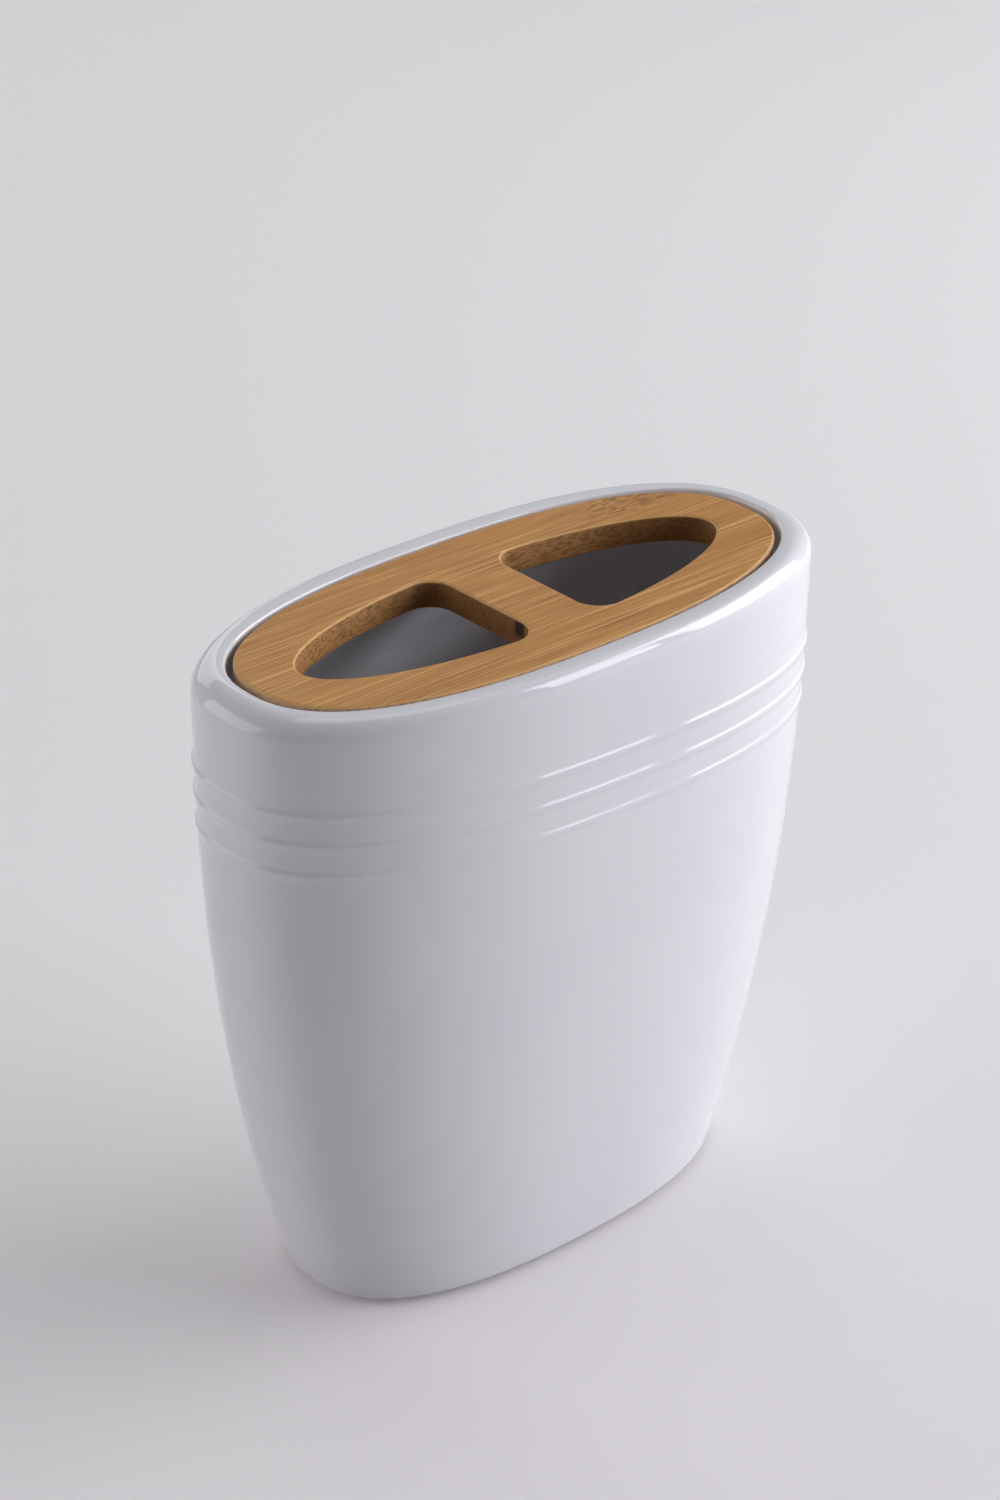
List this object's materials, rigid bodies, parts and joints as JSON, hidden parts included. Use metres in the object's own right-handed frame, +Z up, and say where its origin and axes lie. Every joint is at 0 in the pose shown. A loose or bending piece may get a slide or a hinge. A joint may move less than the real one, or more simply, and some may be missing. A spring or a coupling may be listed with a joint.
{
  "type": "toothbrush holder",
  "caption": "Oval glazed ceramic toothbrush tumbler with soft raised rings and a drop-in bamboo lid with openings for the brushes.",
  "frame": {"origin": "on the table, under the middle of the tumbler, in the plane of the pads' undersides", "axes": "+X along the oval's long way, +Y across it, +Z up out of the tumbler's mouth"},
  "size_m": [0.1128, 0.0516, 0.11],
  "materials": {
    "glaze": "gloss white glaze",
    "bamboo": "satin oiled bamboo",
    "silicone": "clear matte silicone"
  },
  "bodies": {
    "tumbler": {"ceramic_tumbler": "glaze", "foot_pad_1": "silicone", "foot_pad_2": "silicone", "foot_pad_3": "silicone", "foot_pad_4": "silicone"},
    "lid": {"bamboo_lid": "bamboo"}
  },
  "joints": [
    {"name": "lid_lift", "type": "slide", "parent": "tumbler", "child": "lid", "axis": [0, 0, 1], "range_m": [0, 0.04]}
  ]
}
